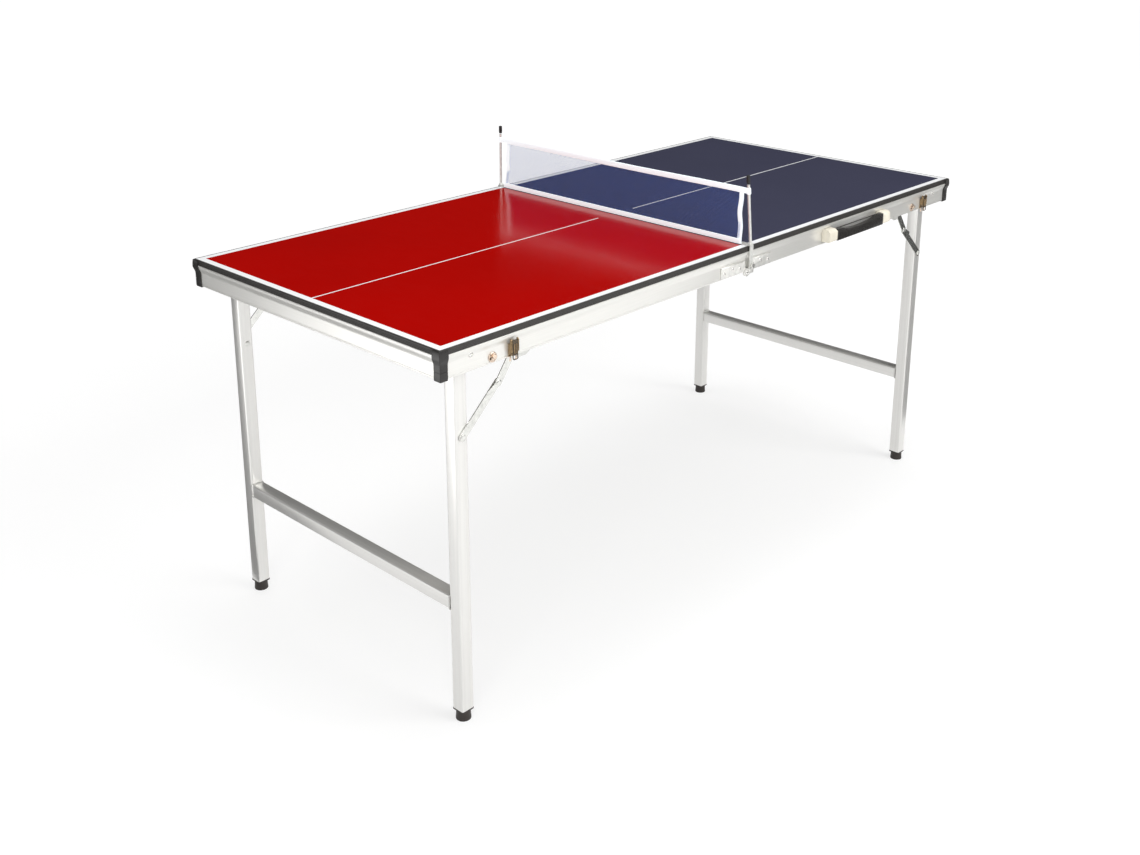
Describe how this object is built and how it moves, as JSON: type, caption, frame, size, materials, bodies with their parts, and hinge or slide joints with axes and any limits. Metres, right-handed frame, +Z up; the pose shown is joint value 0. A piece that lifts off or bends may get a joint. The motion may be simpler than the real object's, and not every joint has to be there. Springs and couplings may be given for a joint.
{
  "type": "folding table tennis table",
  "caption": "Compact table-tennis table: two hinged case halves with rails, fold-away square-tube legs, stays, latches, handle and clamp-on net.",
  "frame": {"origin": "on the floor, under the middle of the object's outline; the playing surface's middle lies straight above, 3.6 mm towards +Y", "axes": "+X along the table from the red half to the blue half, +Y across it towards the side away from the handle, +Z up"},
  "size_m": [1.504, 0.6948, 0.8076],
  "materials": {
    "red_top": "gloss laminate, printed border and centre line",
    "blue_top": "gloss laminate, printed border and centre line",
    "aluminium": "brushed anodised extrusion",
    "black_plastic": "moulded, satin",
    "leg_paint": "silver powder coat",
    "zinc_steel": "bright zinc plate",
    "brass": "yellow zinc plate",
    "cream_plastic": "moulded, satin",
    "rubber": "moulded rubber",
    "net_cord": "white woven nylon net and tape"
  },
  "bodies": {
    "red_half": {"red_board": "red_top", "red_edge_trim": "black_plastic", "red_end_rail": "aluminium", "red_seam_rail": "aluminium", "red_latch_base": "brass", "red_latch_catch": "brass", "red_near_rail": "aluminium", "red_near_corner_cap": "black_plastic", "red_near_fold_bracket": "zinc_steel", "red_near_hinge_leaf": "zinc_steel", "red_far_rail": "aluminium", "red_far_corner_cap": "black_plastic", "red_far_fold_bracket": "zinc_steel", "red_far_hinge_leaf": "zinc_steel", "near_hinge_pin": "zinc_steel", "far_hinge_pin": "zinc_steel"},
    "blue_half": {"blue_board": "blue_top", "blue_edge_trim": "black_plastic", "blue_end_rail": "aluminium", "blue_seam_rail": "aluminium", "blue_latch_base": "brass", "blue_latch_catch": "brass", "blue_near_rail": "aluminium", "blue_near_corner_cap": "black_plastic", "blue_near_fold_bracket": "zinc_steel", "blue_near_hinge_leaf": "zinc_steel", "blue_far_rail": "aluminium", "blue_far_corner_cap": "black_plastic", "blue_far_fold_bracket": "zinc_steel", "blue_far_hinge_leaf": "zinc_steel", "handle_inner_block": "cream_plastic", "handle_outer_block": "cream_plastic"},
    "red_legs": {"red_leg_crossbar": "leg_paint", "red_near_leg": "leg_paint", "red_near_foot": "rubber", "red_far_leg": "leg_paint", "red_far_foot": "rubber"},
    "red_near_stay_upper_link": {"red_near_stay_upper": "zinc_steel"},
    "red_near_stay_lower_link": {"red_near_stay_lower": "zinc_steel"},
    "red_far_stay_upper_link": {"red_far_stay_upper": "zinc_steel"},
    "red_far_stay_lower_link": {"red_far_stay_lower": "zinc_steel"},
    "red_latch_flap": {"red_latch_lever": "brass"},
    "blue_legs": {"blue_leg_crossbar": "leg_paint", "blue_near_leg": "leg_paint", "blue_near_foot": "rubber", "blue_far_leg": "leg_paint", "blue_far_foot": "rubber"},
    "blue_near_stay_upper_link": {"blue_near_stay_upper": "zinc_steel"},
    "blue_near_stay_lower_link": {"blue_near_stay_lower": "zinc_steel"},
    "blue_far_stay_upper_link": {"blue_far_stay_upper": "zinc_steel"},
    "blue_far_stay_lower_link": {"blue_far_stay_lower": "zinc_steel"},
    "blue_latch_flap": {"blue_latch_lever": "brass"},
    "handle": {"handle_grip": "black_plastic"},
    "net_set": {"net_panel": "net_cord", "net_near_post": "zinc_steel", "net_near_post_cap": "rubber", "net_far_post": "zinc_steel", "net_far_post_cap": "rubber"},
    "near_clamp": {"net_near_clamp_screw": "zinc_steel"},
    "far_clamp": {"net_far_clamp_screw": "zinc_steel"}
  },
  "joints": [
    {"name": "halves_fold", "type": "hinge", "parent": "red_half", "child": "blue_half", "pos_m": [0, 0.00355, 0.625], "axis": [0, 1, 0], "range_deg": [0, 90]},
    {"name": "red_legs_fold", "type": "hinge", "parent": "red_half", "child": "red_legs", "pos_m": [-0.686, 0.00355, 0.65], "axis": [0, -1, 0], "range_deg": [0, 90]},
    {"name": "red_near_stay_upper_turn", "type": "hinge", "parent": "red_half", "child": "red_near_stay_upper_link", "pos_m": [-0.56, -0.30595, 0.65], "axis": [0, -1, 0], "range_deg": [-54.77, 0.5]},
    {"name": "red_near_stay_lower_turn", "type": "hinge", "parent": "red_legs", "child": "red_near_stay_lower_link", "pos_m": [-0.686, -0.30595, 0.509], "axis": [0, -1, 0], "range_deg": [-0.5, 47.45]},
    {"name": "red_far_stay_upper_turn", "type": "hinge", "parent": "red_half", "child": "red_far_stay_upper_link", "pos_m": [-0.56, 0.31305, 0.65], "axis": [0, -1, 0], "range_deg": [-54.77, 0.5]},
    {"name": "red_far_stay_lower_turn", "type": "hinge", "parent": "red_legs", "child": "red_far_stay_lower_link", "pos_m": [-0.686, 0.31305, 0.509], "axis": [0, -1, 0], "range_deg": [-0.5, 47.45]},
    {"name": "red_latch_turn", "type": "hinge", "parent": "red_half", "child": "red_latch_flap", "pos_m": [-0.601, -0.33335, 0.651], "axis": [-1, 0, 0], "range_deg": [0, 110]},
    {"name": "blue_legs_fold", "type": "hinge", "parent": "blue_half", "child": "blue_legs", "pos_m": [0.686, 0.00355, 0.65], "axis": [0, 1, 0], "range_deg": [0, 90]},
    {"name": "blue_near_stay_upper_turn", "type": "hinge", "parent": "blue_half", "child": "blue_near_stay_upper_link", "pos_m": [0.56, -0.30595, 0.65], "axis": [0, 1, 0], "range_deg": [-54.77, 0.5]},
    {"name": "blue_near_stay_lower_turn", "type": "hinge", "parent": "blue_legs", "child": "blue_near_stay_lower_link", "pos_m": [0.686, -0.30595, 0.509], "axis": [0, 1, 0], "range_deg": [-0.5, 47.45]},
    {"name": "blue_far_stay_upper_turn", "type": "hinge", "parent": "blue_half", "child": "blue_far_stay_upper_link", "pos_m": [0.56, 0.31305, 0.65], "axis": [0, 1, 0], "range_deg": [-54.77, 0.5]},
    {"name": "blue_far_stay_lower_turn", "type": "hinge", "parent": "blue_legs", "child": "blue_far_stay_lower_link", "pos_m": [0.686, 0.31305, 0.509], "axis": [0, 1, 0], "range_deg": [-0.5, 47.45]},
    {"name": "blue_latch_turn", "type": "hinge", "parent": "blue_half", "child": "blue_latch_flap", "pos_m": [0.642, -0.33335, 0.651], "axis": [-1, 0, 0], "range_deg": [0, 110]},
    {"name": "handle_swing", "type": "hinge", "parent": "blue_half", "child": "handle", "pos_m": [0.365, -0.34195, 0.649], "axis": [-1, 0, 0], "range_deg": [0, 90]},
    {"name": "net_lift", "type": "slide", "parent": "red_half", "child": "net_set", "axis": [0, 0, 1], "range_m": [0, 0.06]},
    {"name": "near_clamp_turn", "type": "hinge", "parent": "net_set", "child": "near_clamp", "pos_m": [0.008, -0.33545, 0.638], "axis": [0, -1, 0], "continuous": true},
    {"name": "far_clamp_turn", "type": "hinge", "parent": "net_set", "child": "far_clamp", "pos_m": [0.008, 0.34255, 0.638], "axis": [0, 1, 0], "continuous": true}
  ],
  "couplings": [
    {"joint": "red_near_stay_upper_turn", "follows": "red_legs_fold", "ratio": -0.60301},
    {"joint": "red_near_stay_lower_turn", "follows": "red_legs_fold", "ratio": 0.52168},
    {"joint": "red_far_stay_upper_turn", "follows": "red_legs_fold", "ratio": -0.60301},
    {"joint": "red_far_stay_lower_turn", "follows": "red_legs_fold", "ratio": 0.52168},
    {"joint": "blue_near_stay_upper_turn", "follows": "blue_legs_fold", "ratio": -0.60301},
    {"joint": "blue_near_stay_lower_turn", "follows": "blue_legs_fold", "ratio": 0.52168},
    {"joint": "blue_far_stay_upper_turn", "follows": "blue_legs_fold", "ratio": -0.60301},
    {"joint": "blue_far_stay_lower_turn", "follows": "blue_legs_fold", "ratio": 0.52168}
  ]
}
